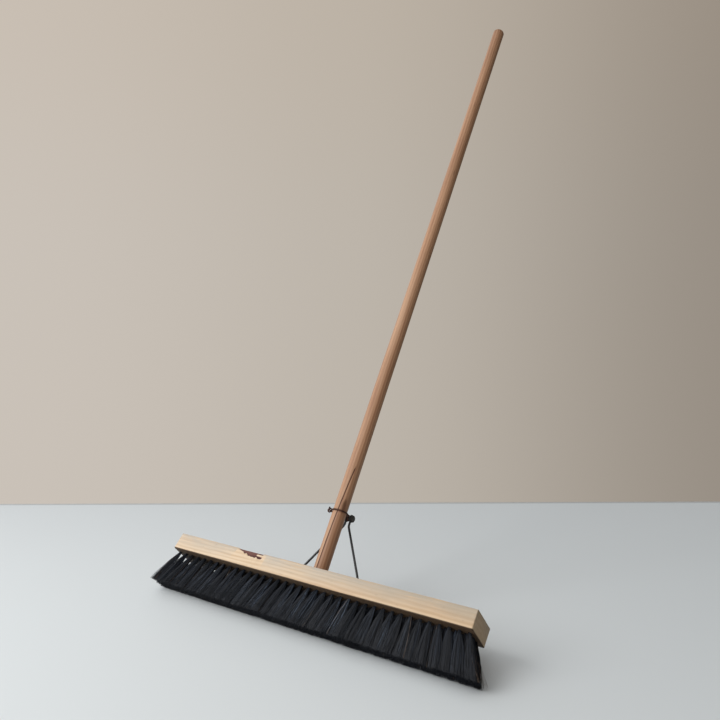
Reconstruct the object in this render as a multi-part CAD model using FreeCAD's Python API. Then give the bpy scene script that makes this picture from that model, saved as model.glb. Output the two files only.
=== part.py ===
import FreeCAD, Part
import math
import os

# A push broom: a wooden block with rows of stiff tufts, a long round handle in a tapered
# socket, and a wire brace that clamps the handle and is screwed down to the block.
#
# The head is drawn level: origin at the middle of the block's bottom face, X along the
# block, Y towards its back edge, Z up. The whole broom is then tipped forward onto the
# tips of its back row, which rest on the floor at Z = 0. Sizes are millimetres and degrees.

V = FreeCAD.Vector
ORIGIN = V(0, 0, 0)
X_AXIS = V(1, 0, 0)
Y_AXIS = V(0, 1, 0)
Z_AXIS = V(0, 0, 1)

# Posture
head_tilt = 47.0            # the block's top face leans back this far from level
handle_set = 13.0           # handle's lean towards the block's front edge
floor_trim = 1.0            # how far the back row's tips are worn flat by the floor

# Block
block_length = 610.0
block_depth = 64.0
block_thickness = 30.0
front_bevel = 3.0           # along the top front edge
back_round = 3.0            # along the top back edge
corner_round = 2.0          # upright corners
worn_corner_round = 6.0     # upright corner at the front left, worn by use

# Tufts
row_count = 5
row_pitch = 7.5             # between neighbouring rows
tuft_pitch = 16.0           # nearest pitch along a row
tuft_end_margin = 9.0       # block's end to the first hole's axis
tuft_trim = 62.0            # tuft length below the block
tuft_root_diameter = 4.8
tuft_gap = 0.3              # between neighbouring tips
comb_lean_left = -17.0      # sideways lean of the tufts, from the left end ...
comb_lean_right = 16.0      # ... to the right end
end_splay = 6.0             # extra outward lean of the outermost tufts
tuft_hole_depth = 9.0
tuft_hole_clearance = 0.1   # radial
tuft_hole_end_gap = 0.5

# Anchors: flat wire strips driven across the holes, one folded into each tuft
anchor_height = 2.0
anchor_thickness = 0.5
anchor_bite = 0.3           # into the wood at each end
anchor_depth = 5.5          # from the block's bottom to the anchor's lower edge
anchor_clearance = 0.05     # inside the tuft

# Handle and its socket
handle_length = 1363.0
handle_diameter = 25.4
handle_offset = 3.5         # handle's axis to the right of the block's middle
handle_top_rise = 8.0       # height of the domed top end
taper_foot_diameter = 21.0
taper_rise = 5.0            # the taper ends this far above the block
socket_wall = 1.5           # wood left between the socket and the tuft holes
socket_end_gap = 0.6
socket_clearance = 0.05     # radial

# Brace
clamp_height = 113.0        # along the handle, above the block
clamp_offset = 22.0         # handle's surface to the clamp bolt's axis
bolt_diameter = 6.0
bolt_bore_clearance = 0.1   # radial, in the eyes, washer and nut
bolt_head_diameter = 12.0
bolt_head_height = 3.0
bolt_head_round = 1.8
bolt_end_chamfer = 0.75
bolt_spare_length = 8.0     # past the wing nut
stack_gap = 0.1             # between neighbours on the bolt
leg_diameter = 4.0
leg_neck_spare = 4.0        # straight stretch of a leg past the reach of the wings
leg_neck_bend = 14.0
leg_knee_bend = 7.0
left_foot_spread = 62.0     # handle's axis to the knee of the left leg, along the block
right_foot_spread = 71.5
foot_edge_margin = 0.5      # foot's rim to the rounding of the block's back edge
foot_run = 10.0             # knee to the foot's screw
foot_radius = 5.5
foot_thickness = 2.0
clamp_wire_diameter = 2.5
clamp_wire_gap = 0.3        # to the handle
clamp_neck_spare = 1.9      # straight stretch of a clamp wire past the legs' eyes
clamp_neck_bend = 5.0
clamp_dent_width = 4.0      # ring pressed into the handle by the clamp wire
clamp_dent_depth = 0.3
latch_offset = 5.5          # handle's surface to the latch eye, sideways
latch_advance = 5.0         # latch eye in front of the handle's axis
latch_eye_radius = 3.2      # of the eye's centreline
latch_eye_drop = 1.5
latch_gather = 7.0          # how far behind the latch eye its wire comes in
hook_rise = 5.0
latch_bend = 1.8

# Foot screws
screw_diameter = 3.5
screw_length = 18.0
screw_head_diameter = 7.0
screw_head_height = 2.4
screw_head_round = 1.2
screw_point_chamfer = 0.8
screw_slot_width = 1.0
screw_slot_depth = 1.0
screw_clearance = 0.1       # radial, in the foot and in the pilot hole
screw_end_gap = 1.0

# Washer and wing nut
washer_diameter = 13.0
washer_thickness = 1.2
nut_diameter = 10.0
nut_height = 5.0
nut_chamfer = 0.6
wing_reach = 10.0           # bolt's axis to a wing's tip
wing_waist = 6.0            # bolt's axis to where a wing is bent outwards
wing_height = 8.0           # from the washer's face
wing_tip = 4.5              # width of a wing's tip
wing_clearance = 0.5        # between a wing and the washer
wing_thickness = 1.8
wing_round = 1.5
wing_root = 2.5             # bolt's axis to a wing's root, inside the hub

# ---------------------------------------------------------------- worked-out sizes

half_length = block_length / 2
half_depth = block_depth / 2
handle_radius = handle_diameter / 2
tuft_root_radius = tuft_root_diameter / 2
tuft_hole_radius = tuft_root_radius + tuft_hole_clearance
bolt_radius = bolt_diameter / 2
leg_radius = leg_diameter / 2
clamp_wire_radius = clamp_wire_diameter / 2
wrap_radius = handle_radius + clamp_wire_gap + clamp_wire_radius
clamp_reach = handle_radius + clamp_offset
latch_reach = handle_radius + latch_offset
leg_neck = wing_reach + leg_neck_spare
clamp_neck = bolt_radius + bolt_bore_clearance + leg_diameter + clamp_neck_spare
foot_setback = half_depth - back_round - foot_radius - foot_edge_margin

# The socket ends above the tuft holes, allowing for the slant of its floor
socket_room = block_thickness - tuft_hole_depth - socket_wall
socket_slant = taper_foot_diameter / 2 * math.sin(math.radians(handle_set))
socket_reach = (socket_room - socket_slant) / math.cos(math.radians(handle_set))
socket_depth = socket_reach - socket_end_gap

tuft_span = block_length - 2 * tuft_end_margin
long_row_tufts = round(tuft_span / tuft_pitch) + 1
tuft_spacing = tuft_span / (long_row_tufts - 1)
tuft_tip_radius = (math.hypot(tuft_spacing / 2, row_pitch) - tuft_gap) / 2
back_row_y = (row_count - 1) / 2 * row_pitch

# Places on the clamp bolt, from the clamp's middle outwards
clamp_eye_x = (clamp_wire_diameter + stack_gap) / 2
leg_eye_x = clamp_eye_x + clamp_wire_radius + stack_gap + leg_radius
stack_end = leg_eye_x + leg_radius + stack_gap
washer_face = stack_end + washer_thickness + stack_gap
bolt_end = washer_face + nut_height + bolt_spare_length


def eye_radius(wire_radius):
    """Centreline radius of an eye bent round the clamp bolt."""
    return bolt_radius + bolt_bore_clearance + wire_radius


# ---------------------------------------------------------------- shape helpers

def polar(radius, angle):
    """The point at a radius and an angle in the XY plane."""
    return V(radius * math.cos(math.radians(angle)), radius * math.sin(math.radians(angle)), 0)


def towards(start, end):
    """The unit vector from one point towards another."""
    step = end - start
    return step / step.Length


def arc_at_corner(before, corner, after, radius):
    """The arc that rounds a corner, tangent to both of its runs."""
    to_before = towards(corner, before)
    to_after = towards(corner, after)
    half_angle = to_before.getAngle(to_after) / 2
    middle = to_before + to_after
    middle.normalize()
    setback = radius / math.tan(half_angle)
    through = corner + middle * (radius / math.sin(half_angle) - radius)
    return Part.Arc(corner + to_before * setback, through, corner + to_after * setback).toShape()


def rounded_route(points, radii):
    """Straight runs through the points, with each inner corner rounded by its radius."""
    edges = []
    start = points[0]
    for before, corner, after, radius in zip(points, points[1:], points[2:], radii):
        bend = arc_at_corner(before, corner, after, radius)
        bend_start = bend.valueAt(bend.FirstParameter)
        edges.append(Part.LineSegment(start, bend_start).toShape())
        edges.append(bend)
        start = bend.valueAt(bend.LastParameter)
    edges.append(Part.LineSegment(start, points[-1]).toShape())
    return edges


def rod(edges, radius):
    """A round wire along a route of edges."""
    first = edges[0]
    start = first.valueAt(first.FirstParameter)
    section = Part.Wire(Part.makeCircle(radius, start, first.tangentAt(first.FirstParameter)))
    return Part.Wire(edges).makePipeShell([section], True, False)


def ring(centre, axis, centreline_radius, wire_radius):
    """A closed eye of round wire."""
    return Part.makeTorus(centreline_radius, wire_radius, centre, axis)


def tube(inner_radius, outer_radius, length, start, axis):
    """A plain ring or bush."""
    outer = Part.makeCylinder(outer_radius, length, start, axis)
    return outer.cut(Part.makeCylinder(inner_radius, length, start, axis))


def one_solid(shape):
    """The single solid of a fused shape, without its seams."""
    return shape.removeSplitter().Solids[0]


def set_on_handle(shape):
    """Move a shape drawn along the handle (Z up its axis from the block) onto the block."""
    placed = shape.copy()
    placed.rotate(ORIGIN, X_AXIS, handle_set)
    placed.translate(V(handle_offset, 0, block_thickness))
    return placed


def handle_point(x, behind, along):
    """A point given beside the handle, in the head's own frame."""
    turn = FreeCAD.Rotation(X_AXIS, handle_set)
    return turn.multVec(V(x, behind, along)) + V(handle_offset, 0, block_thickness)


def tip_onto_floor(shape):
    """Tip the level head forward and stand the back row's tips on the floor at the origin."""
    turn = FreeCAD.Rotation(X_AXIS, -head_tilt)
    contact = turn.multVec(V(0, back_row_y + tuft_tip_radius, -tuft_trim))
    placed = shape.copy()
    placed.rotate(ORIGIN, X_AXIS, -head_tilt)
    placed.translate(V(0, -contact.y, -contact.z - floor_trim))
    return placed


# ---------------------------------------------------------------- tufts

def row_roots(row):
    """X of each tuft's root along a row; every second row sits between its neighbours."""
    offset = row % 2
    first = -tuft_span / 2 + offset * tuft_spacing / 2
    return [first + i * tuft_spacing for i in range(long_row_tufts - offset)]


def row_y(row):
    """Y of a row, counted from the front edge."""
    return row * row_pitch - back_row_y


def tuft_lean(x):
    """Sideways lean of a tuft: combed towards the left end and splayed at both ends."""
    share = x / half_length
    combed = comb_lean_left + (comb_lean_right - comb_lean_left) * ((share + 1) / 2) ** 3
    return combed + math.copysign(end_splay * share ** 6, share)


def tuft(x, y):
    """A tuft spreading from its hole to its trimmed tip, with a slot for its anchor."""
    shift = tuft_trim * math.tan(math.radians(tuft_lean(x)))
    root = Part.Wire(Part.makeCircle(tuft_root_radius, V(x, y, 0), Z_AXIS))
    tip = Part.Wire(Part.makeCircle(tuft_tip_radius, V(x + shift, y, -tuft_trim), Z_AXIS))
    brush = Part.makeLoft([tip, root], True, True)
    plug_height = tuft_hole_depth - tuft_hole_end_gap
    plug = Part.makeCylinder(tuft_root_radius, plug_height, V(x, y, 0))
    slot = anchor_strip(x, y, anchor_clearance)
    return brush.fuse(plug).cut(slot).Solids[0]


def anchor_strip(x, y, grow):
    """A flat strip across a tuft hole, wider than the hole so that it grips the wood."""
    length = 2 * (tuft_hole_radius + anchor_bite)
    corner = V(x - length / 2 - grow, y - anchor_thickness / 2 - grow, anchor_depth - grow)
    return Part.makeBox(
        length + 2 * grow, anchor_thickness + 2 * grow, anchor_height + 2 * grow, corner
    )


def tuft_row(row):
    return Part.Compound([tuft(x, row_y(row)) for x in row_roots(row)])


def anchor_row(row):
    return Part.Compound([anchor_strip(x, row_y(row), 0) for x in row_roots(row)])


# ---------------------------------------------------------------- handle

def taper_radius(along):
    """Radius of the handle's tapered foot at a height along the handle."""
    narrow_end = taper_foot_diameter / 2
    share = (along + socket_depth) / (taper_rise + socket_depth)
    return narrow_end + (handle_radius - narrow_end) * share


def handle():
    """A round pole with a tapered foot, a dent under the clamp and a domed top."""
    foot = -socket_depth
    top = handle_length - socket_depth
    dome_radius = (handle_radius ** 2 + handle_top_rise ** 2) / (2 * handle_top_rise)
    half_sweep = math.asin(handle_radius / dome_radius) / 2
    dome_middle = V(dome_radius * math.sin(half_sweep), 0,
                    top - dome_radius + dome_radius * math.cos(half_sweep))
    dent_start = V(handle_radius, 0, clamp_height - clamp_dent_width / 2)
    dent_middle = V(handle_radius - clamp_dent_depth, 0, clamp_height)
    dent_end = V(handle_radius, 0, clamp_height + clamp_dent_width / 2)
    dome_start = V(handle_radius, 0, top - handle_top_rise)
    taper_start = V(taper_radius(foot), 0, foot)
    taper_end = V(handle_radius, 0, taper_rise)
    lower = [V(0, 0, foot), taper_start, taper_end, dent_start]
    edges = [Part.LineSegment(a, b).toShape() for a, b in zip(lower, lower[1:])]
    edges.append(Part.Arc(dent_start, dent_middle, dent_end).toShape())
    edges.append(Part.LineSegment(dent_end, dome_start).toShape())
    edges.append(Part.Arc(dome_start, dome_middle, V(0, 0, top)).toShape())
    edges.append(Part.LineSegment(V(0, 0, top), V(0, 0, foot)).toShape())
    profile = Part.Face(Part.Wire(edges))
    return set_on_handle(profile.revolve(ORIGIN, Z_AXIS, 360))


def socket():
    """The tapered hole that the handle's foot sits in."""
    depth = socket_depth + socket_end_gap
    bore = Part.makeCone(
        taper_radius(-depth) + socket_clearance,
        handle_radius + socket_clearance,
        depth + taper_rise,
        V(0, 0, -depth),
    )
    return set_on_handle(bore)


# ---------------------------------------------------------------- block

def near(edge, x=None, y=None, z=None):
    """Whether an edge's middle lies on each stated coordinate."""
    middle = edge.CenterOfMass
    wanted = ((middle.x, x), (middle.y, y), (middle.z, z))
    return all(target is None or abs(value - target) < 0.01 for value, target in wanted)


def block_blank():
    """The block's plain box, before its edges are worn and its holes drilled."""
    corner = V(-half_length, -half_depth, 0)
    return Part.makeBox(block_length, block_depth, block_thickness, corner)


def bevelled_bar():
    """The blank with its long top edges eased."""
    bar = block_blank()
    front = [e for e in bar.Edges if near(e, y=-half_depth, z=block_thickness)]
    bar = bar.makeChamfer(front_bevel, front)
    back = [e for e in bar.Edges if near(e, y=half_depth, z=block_thickness)]
    return bar.makeFillet(back_round, back)


def round_cornered_bar():
    """The blank with its upright corners rounded, the front left one more than the others."""
    bar = block_blank()
    worn = [e for e in bar.Edges if near(e, x=-half_length, y=-half_depth)]
    bar = bar.makeFillet(worn_corner_round, worn)
    others = [e for x, y in ((half_length, -half_depth), (half_length, half_depth),
                             (-half_length, half_depth))
              for e in bar.Edges if near(e, x=x, y=y)]
    return bar.makeFillet(corner_round, others)


def block():
    """The wooden block with its tuft holes, screw holes and handle socket."""
    shape = bevelled_bar().common(round_cornered_bar())
    holes = [
        Part.makeCylinder(tuft_hole_radius, tuft_hole_depth, V(x, row_y(row), 0))
        for row in range(row_count)
        for x in row_roots(row)
    ]
    pilot_depth = screw_length - foot_thickness + screw_end_gap
    for side in (-1, 1):
        bottom = screw_place(side) - V(0, 0, pilot_depth)
        holes.append(
            Part.makeCylinder(screw_diameter / 2 + screw_clearance, pilot_depth, bottom)
        )
    return shape.cut(Part.Compound(holes)).cut(socket())


# ---------------------------------------------------------------- brace

def knee_along(side):
    """Place of a leg's knee along the block."""
    spread = right_foot_spread if side > 0 else left_foot_spread
    return handle_offset + side * spread


def screw_place(side):
    """Where a foot's screw enters the block's top face."""
    return V(knee_along(side) + side * foot_run, foot_setback, block_thickness)


def brace_leg(side):
    """A leg with an eye on the clamp bolt, a bent neck, a knee and a flat foot."""
    eye_centre = handle_point(side * leg_eye_x, clamp_reach, clamp_height)
    knee = V(knee_along(side), foot_setback, block_thickness + leg_radius)
    below_eye = V(eye_centre.x, knee.y, knee.z)
    down = towards(eye_centre, below_eye)
    neck_top = eye_centre + down * eye_radius(leg_radius)
    neck_end = eye_centre + down * leg_neck
    foot_centre = screw_place(side)
    shoe_end = V(foot_centre.x - side * (foot_radius - leg_radius / 2), knee.y, knee.z)
    route = rounded_route([neck_top, neck_end, knee, shoe_end], [leg_neck_bend, leg_knee_bend])
    foot = Part.makeCylinder(foot_radius, foot_thickness, foot_centre)
    leg = ring(eye_centre, X_AXIS, eye_radius(leg_radius), leg_radius)
    leg = leg.fuse([rod(route, leg_radius), foot])
    screw_hole = Part.makeCylinder(
        screw_diameter / 2 + screw_clearance, foot_thickness, foot_centre
    )
    return one_solid(leg.cut(screw_hole))


def foot_screw(side):
    """A slotted round-head wood screw through a foot."""
    seat = screw_place(side) + V(0, 0, foot_thickness)
    shank = Part.makeCylinder(screw_diameter / 2, screw_length, seat - V(0, 0, screw_length))
    point = [e for e in shank.Edges if near(e, z=seat.z - screw_length)]
    shank = shank.makeChamfer(screw_point_chamfer, point)
    head = Part.makeCylinder(screw_head_diameter / 2, screw_head_height, seat)
    rim = [e for e in head.Edges if near(e, z=seat.z + screw_head_height)]
    head = head.makeFillet(screw_head_round, rim)
    slot = Part.makeBox(
        screw_head_diameter,
        screw_slot_width,
        screw_slot_depth,
        seat + V(-screw_head_diameter / 2, -screw_slot_width / 2,
                 screw_head_height - screw_slot_depth),
    )
    return one_solid(head.fuse(shank).cut(slot))


def on_clamp(shape):
    """Move a shape drawn in the clamp's plane, with the handle's axis at its origin."""
    return set_on_handle(shape.translated(V(0, 0, clamp_height)))


def tangent_angle(point):
    """Angle at which a straight wire from the point meets the wrap round the handle, right side."""
    bearing = math.degrees(math.atan2(point.y, point.x))
    return bearing - math.degrees(math.acos(wrap_radius / point.Length))


def latch_eye_centre():
    return V(-latch_reach, -latch_advance, -latch_eye_drop)


def clamp_eye(side):
    """An eye of a clamp wire on the bolt, and the two ends of its straight neck."""
    centre = V(side * clamp_eye_x, clamp_reach, 0)
    radius = eye_radius(clamp_wire_radius)
    eye = ring(centre, X_AXIS, radius, clamp_wire_radius)
    return eye, centre - V(0, radius, 0), centre - V(0, clamp_neck, 0)


def clamp_wire_front():
    """The wire round the front of the handle, from the bolt to the latch eye on the left."""
    eye, neck_start, neck_end = clamp_eye(1)
    right_touch = polar(wrap_radius, tangent_angle(neck_end))
    left_touch = polar(wrap_radius, 180 + math.degrees(math.asin(latch_advance / wrap_radius)))
    route = rounded_route([neck_start, neck_end, right_touch], [clamp_neck_bend])
    route.append(Part.Arc(right_touch, polar(wrap_radius, -90), left_touch).toShape())
    latch_side = latch_eye_centre() + V(latch_eye_radius, 0, 0)
    tail = rod([Part.LineSegment(left_touch, latch_side).toShape()], clamp_wire_radius)
    elbow = Part.makeSphere(clamp_wire_radius, left_touch)
    latch_eye = ring(latch_eye_centre(), Y_AXIS, latch_eye_radius, clamp_wire_radius)
    wire = eye.fuse([rod(route, clamp_wire_radius), tail, elbow, latch_eye])
    return on_clamp(one_solid(wire))


def clamp_wire_back():
    """The wire from the bolt through the latch eye, ending in an upturned hook."""
    eye, neck_start, neck_end = clamp_eye(-1)
    latch = latch_eye_centre()
    hook_foot = latch - V(0, latch_eye_radius, 0)
    route = rounded_route(
        [neck_start, neck_end, latch + V(0, latch_gather, 0), hook_foot,
         hook_foot + V(0, 0, hook_rise)],
        [clamp_neck_bend, clamp_neck_bend, latch_bend],
    )
    return on_clamp(one_solid(eye.fuse(rod(route, clamp_wire_radius))))


def on_bolt(shape):
    """Move a shape drawn round the X axis onto the clamp bolt."""
    return on_clamp(shape.translated(V(0, clamp_reach, 0)))


def clamp_bolt():
    """A round-headed bolt through all the eyes; its thread points to the left."""
    shank = Part.makeCylinder(bolt_radius, stack_end + bolt_end, V(-bolt_end, 0, 0), X_AXIS)
    tail = [e for e in shank.Edges if near(e, x=-bolt_end)]
    shank = shank.makeChamfer(bolt_end_chamfer, tail)
    head = Part.makeCylinder(
        bolt_head_diameter / 2, bolt_head_height, V(stack_end, 0, 0), X_AXIS
    )
    rim = [e for e in head.Edges if near(e, x=stack_end + bolt_head_height)]
    head = head.makeFillet(bolt_head_round, rim)
    return on_bolt(one_solid(shank.fuse(head)))


def clamp_washer():
    start = V(-stack_end - washer_thickness, 0, 0)
    bore = bolt_radius + bolt_bore_clearance
    return on_bolt(tube(bore, washer_diameter / 2, washer_thickness, start, X_AXIS))


def wing():
    """One wing of the nut, drawn with the washer's face at X = 0: a plate flaring away from it."""
    outline = Part.makePolygon([
        V(-wing_clearance, wing_root, 0),
        V(-wing_clearance, wing_waist, 0),
        V(-wing_height + wing_tip, wing_reach, 0),
        V(-wing_height, wing_reach, 0),
        V(-wing_height, wing_waist, 0),
        V(-nut_height, wing_root, 0),
        V(-wing_clearance, wing_root, 0),
    ])
    plate = Part.Face(outline).extrude(V(0, 0, wing_thickness))
    tip = [e for e in plate.Edges if near(e, x=-wing_height, z=wing_thickness / 2)]
    return plate.makeFillet(wing_round, tip).translated(V(0, 0, -wing_thickness / 2))


def wing_nut():
    """A hub with two wings and a bore for the bolt."""
    hub = Part.makeCylinder(nut_diameter / 2, nut_height, V(-nut_height, 0, 0), X_AXIS)
    rim = [e for e in hub.Edges if near(e, x=-nut_height)]
    hub = hub.makeChamfer(nut_chamfer, rim)
    opposite = wing()
    opposite.rotate(ORIGIN, X_AXIS, 180)
    bore = Part.makeCylinder(
        bolt_radius + bolt_bore_clearance, 2 * wing_height, V(-wing_height, 0, 0), X_AXIS
    )
    nut = one_solid(hub.fuse([wing(), opposite]).cut(bore))
    return on_bolt(nut.translated(V(-washer_face, 0, 0)))


# ---------------------------------------------------------------- the broom

def build():
    """Every piece of the broom by its node name, in the level head's frame."""
    pieces = {"block": block(), "handle": handle()}
    for row in range(row_count):
        pieces[f"tuft_row_{row + 1}"] = tuft_row(row)
        pieces[f"tuft_anchors_{row + 1}"] = anchor_row(row)
    for side, name in ((-1, "left"), (1, "right")):
        pieces[f"brace_leg_{name}"] = brace_leg(side)
        pieces[f"foot_screw_{name}"] = foot_screw(side)
    pieces["clamp_wire_front"] = clamp_wire_front()
    pieces["clamp_wire_back"] = clamp_wire_back()
    pieces["clamp_bolt"] = clamp_bolt()
    pieces["clamp_washer"] = clamp_washer()
    pieces["wing_nut"] = wing_nut()
    return pieces


def write(pieces):
    """Tip each piece onto the floor, wear the tufts flat there, and write one file for each."""
    os.makedirs("parts", exist_ok=True)
    floor = Part.makeBox(
        2 * block_length, 2 * block_length, tuft_trim, V(-block_length, -block_length, -tuft_trim)
    )
    for name, piece in pieces.items():
        placed = tip_onto_floor(piece)
        if name.startswith("tuft_row"):
            placed = placed.cut(floor)
        placed.exportStep(f"parts/{name}.step")


write(build())
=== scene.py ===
import math
import random

import bmesh
import bpy
from bpy.props import FloatProperty, FloatVectorProperty, IntProperty, PointerProperty
from mathutils import Matrix, Vector, noise


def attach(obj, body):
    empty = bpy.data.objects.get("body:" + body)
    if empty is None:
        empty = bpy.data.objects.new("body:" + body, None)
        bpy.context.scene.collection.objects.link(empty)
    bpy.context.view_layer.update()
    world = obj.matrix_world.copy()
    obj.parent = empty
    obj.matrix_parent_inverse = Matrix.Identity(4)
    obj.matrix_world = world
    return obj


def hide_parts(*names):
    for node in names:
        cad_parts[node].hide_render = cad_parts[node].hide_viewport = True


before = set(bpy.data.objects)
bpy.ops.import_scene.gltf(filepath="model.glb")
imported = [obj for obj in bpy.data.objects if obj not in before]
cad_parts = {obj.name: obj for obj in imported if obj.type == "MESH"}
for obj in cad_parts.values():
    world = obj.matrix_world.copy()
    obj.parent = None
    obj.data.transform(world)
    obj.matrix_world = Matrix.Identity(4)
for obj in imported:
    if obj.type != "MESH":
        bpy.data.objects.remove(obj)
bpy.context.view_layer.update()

bl_info = {
    "name": "Push Broom",
    "version": (1, 0, 0),
    "blender": (4, 5, 0),
    "location": "3D View > Sidebar > Broom",
    "description": "Finishes a wooden push broom round its fixed frame",
    "category": "Object",
}

MM = 0.001


# ------------------------------------------------------------------ sizes and colours

def length(name, description, default):
    return FloatProperty(name=name, description=description, default=default, min=0.0,
                         unit="LENGTH", precision=5)


def angle(name, description, degrees):
    return FloatProperty(name=name, description=description, default=math.radians(degrees),
                         subtype="ANGLE")


def colour(name, description, default):
    return FloatVectorProperty(name=name, description=description, default=default, size=3,
                               min=0.0, max=1.0, subtype="COLOR")


def power(name, description, default):
    return FloatProperty(name=name, description=description, default=default, min=0.0,
                         unit="POWER")


class BroomPosture(bpy.types.PropertyGroup):
    head_tilt: angle("Head tilt", "How far the block leans back from level", 47)
    handle_set: angle("Handle set", "Handle's lean towards the block's front edge", 13)
    floor_wear: length("Floor wear", "Length worn off the back row's tips", 0.001)


class BroomBlock(bpy.types.PropertyGroup):
    length: length("Length", "Along the bristle rows", 0.610)
    depth: length("Depth", "Front edge to back edge", 0.064)
    thickness: length("Thickness", "Bristle face to top face", 0.030)
    edge_round: length("Edge round", "Easing of the long top edges", 0.003)
    corner_round: length("Corner round", "Easing of the upright corners", 0.002)
    worn_corner: length("Worn corner", "Rounding of the front left corner", 0.006)
    small_edge: length("Small edge", "Easing of every other edge", 0.0007)
    wear: length("Wear", "How uneven the faces are", 0.00035)
    socket_depth: length("Socket depth", "Depth of the handle's hole", 0.0176)
    socket_radius: length("Socket radius", "Radius of the hole at the top face", 0.01225)
    socket_foot: length("Socket foot", "Radius of the hole at its floor", 0.0105)
    chip_start: FloatProperty(name="Chip start", default=-0.156, unit="LENGTH",
                              description="Left end of the chip, from the block's middle")
    chip_end: FloatProperty(name="Chip end", default=-0.098, unit="LENGTH",
                            description="Right end of the chip, from the block's middle")
    chip_depth: length("Chip depth", "How deep the chip is", 0.0022)
    chip_drop: length("Chip drop", "How far the chip reaches down the front", 0.0095)
    pale: colour("Pale wood", "Early wood", (0.710, 0.545, 0.375))
    grain: colour("Grain", "Late wood between the pale bands", (0.540, 0.365, 0.215))
    blush: colour("Blush", "Warmer stretches of the wood", (0.640, 0.415, 0.260))
    # Makes the block darker and yellower towards its right end.
    right_end_tint: colour("Aged", "Yellowing towards the right end", (0.80, 0.70, 0.56))
    grime: colour("Grime", "Grey stains from handling", (0.40, 0.33, 0.24))
    pore: colour("Pore", "Short dark pores and flecks", (0.40, 0.27, 0.165))
    # Grey on the top long edges: partly real dust, partly painted sheen of the bevel catching
    # light from above.
    dust_and_sheen: colour("Dust", "Grey dust rubbed into the edges", (0.44, 0.41, 0.36))
    # Darker end grain, deepened as painted shade on the ends.
    end_grain_shade: colour("End grain", "Darker wood on the ends", (0.30, 0.22, 0.14))
    # Underside colours: painted shade on the bristle face, over some real staining.
    underside_shade: colour("Underside", "Dark stained bristle face", (0.014, 0.008, 0.005))
    underside_pale: colour("Underside pale", "Wood showing through", (0.070, 0.034, 0.014))
    chip: colour("Chip", "Dark wood inside the chip", (0.075, 0.026, 0.022))
    chip_lip: colour("Chip lip", "Bruised wood beside the chip", (0.36, 0.17, 0.13))


class BroomBristles(bpy.types.PropertyGroup):
    rows: IntProperty(name="Rows", description="Rows of tufts", default=5, min=1)
    row_pitch: length("Row pitch", "Between neighbouring rows", 0.0075)
    tuft_pitch: length("Tuft pitch", "Between neighbouring tufts in a row", 0.016)
    long_row: IntProperty(name="Long row", description="Tufts in a long row", default=38, min=2)
    root_radius: length("Root radius", "Radius of a tuft where it leaves the block", 0.0024)
    tip_radius: length("Tip radius", "Radius of a tuft at its trimmed end", 0.005333)
    hole_radius: length("Hole radius", "Radius of a tuft's hole", 0.0025)
    hole_depth: length("Hole depth", "Depth of a tuft's hole", 0.009)
    trim: length("Trim", "Bristle length below the block", 0.062)
    unevenness: length("Unevenness", "How much the trimmed ends differ", 0.0012)
    lean_left: angle("Left lean", "Sideways lean at the left end", -17)
    lean_right: angle("Right lean", "Sideways lean at the right end", 16)
    end_splay: angle("End splay", "Extra outward lean of the last tufts", 6)
    strands: IntProperty(name="Strands", description="Bristles in a tuft", default=190, min=8)
    spread_along: length("Spread along", "Half width of a tuft's end along the row", 0.0088)
    spread_across: length("Spread across", "Half width of a tuft's end across", 0.0048)
    flare: FloatProperty(name="Flare", default=0.27, min=0.0, max=0.5,
                         description="How early a tuft opens out below its hole")
    thickness: length("Thickness", "Thickness of a bristle", 0.00048)
    curl: length("Curl", "How far a bristle bows from straight", 0.0022)
    strays: IntProperty(name="Strays", description="Loose bristles at each end", default=9)
    black: colour("Black", "Colour of the bristles", (0.0026, 0.0036, 0.0070))
    # Greyed strands: partly worn bristle, partly painted sheen.
    bloom_and_sheen: colour("Bloom", "Greyed colour of worn bristles", (0.042, 0.056, 0.084))
    glint: colour("Glint", "Colour of the palest bristles", (0.100, 0.130, 0.180))
    straw: colour("Straw", "Colour of the few brown stray bristles", (0.13, 0.085, 0.055))


class BroomHandle(bpy.types.PropertyGroup):
    radius: length("Radius", "Radius of the pole", 0.0127)
    offset: length("Offset", "Pole's axis to the right of the block's middle", 0.0035)
    foot_radius: length("Foot radius", "Radius of the tapered foot's end", 0.0105)
    foot_depth: length("Foot depth", "How deep the foot sits in its socket", 0.016989)
    taper_rise: length("Taper rise", "Where the taper ends above the block", 0.005)
    length: length("Length", "Whole length of the pole", 1.363)
    dome_rise: length("Dome rise", "Height of the domed top", 0.008)
    clamp_height: length("Clamp height", "Where the clamp grips", 0.113)
    dent: length("Dent", "How deep the clamp has marked the pole", 0.0003)
    crack_length: length("Crack length", "How far the crack runs above the block", 0.215)
    crack_depth: length("Crack depth", "Depth of the crack", 0.0005)
    crack_width: length("Crack width", "Width of the crack", 0.0019)
    crack_start: angle("Crack start", "Where the crack starts round the pole", -95.8)
    tan: colour("Tan", "Pale bands of the pole's wood", (0.450, 0.250, 0.140))
    brown: colour("Brown", "Dark bands of the pole's wood", (0.300, 0.140, 0.070))
    dark: colour("Dark", "Long dark stretches", (0.205, 0.088, 0.042))
    # Paler wood: real worn stretches, and painted light along the crack.
    bright: colour("Bright", "Worn bright stretches", (0.560, 0.355, 0.220))
    stain: colour("Stain", "Old dirt in cracks and pores", (0.080, 0.026, 0.010))


class BroomMetal(bpy.types.PropertyGroup):
    black: colour("Black", "Stoved black of the legs", (0.016, 0.016, 0.017))
    scuffed: colour("Scuffed", "Greyer patches of the black", (0.032, 0.030, 0.028))
    bare: colour("Bare", "Steel where the black has worn off", (0.20, 0.19, 0.18))
    rust: colour("Rust", "Rust on the clamp wires", (0.105, 0.036, 0.018))
    dark_rust: colour("Dark rust", "Old rust", (0.030, 0.014, 0.010))
    fresh_rust: colour("Fresh rust", "Specks of new rust", (0.20, 0.085, 0.04))
    steel: colour("Steel", "Dulled plated steel", (0.34, 0.33, 0.32))
    dull: colour("Dull", "Tarnish on the steel", (0.085, 0.078, 0.072))


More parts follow.
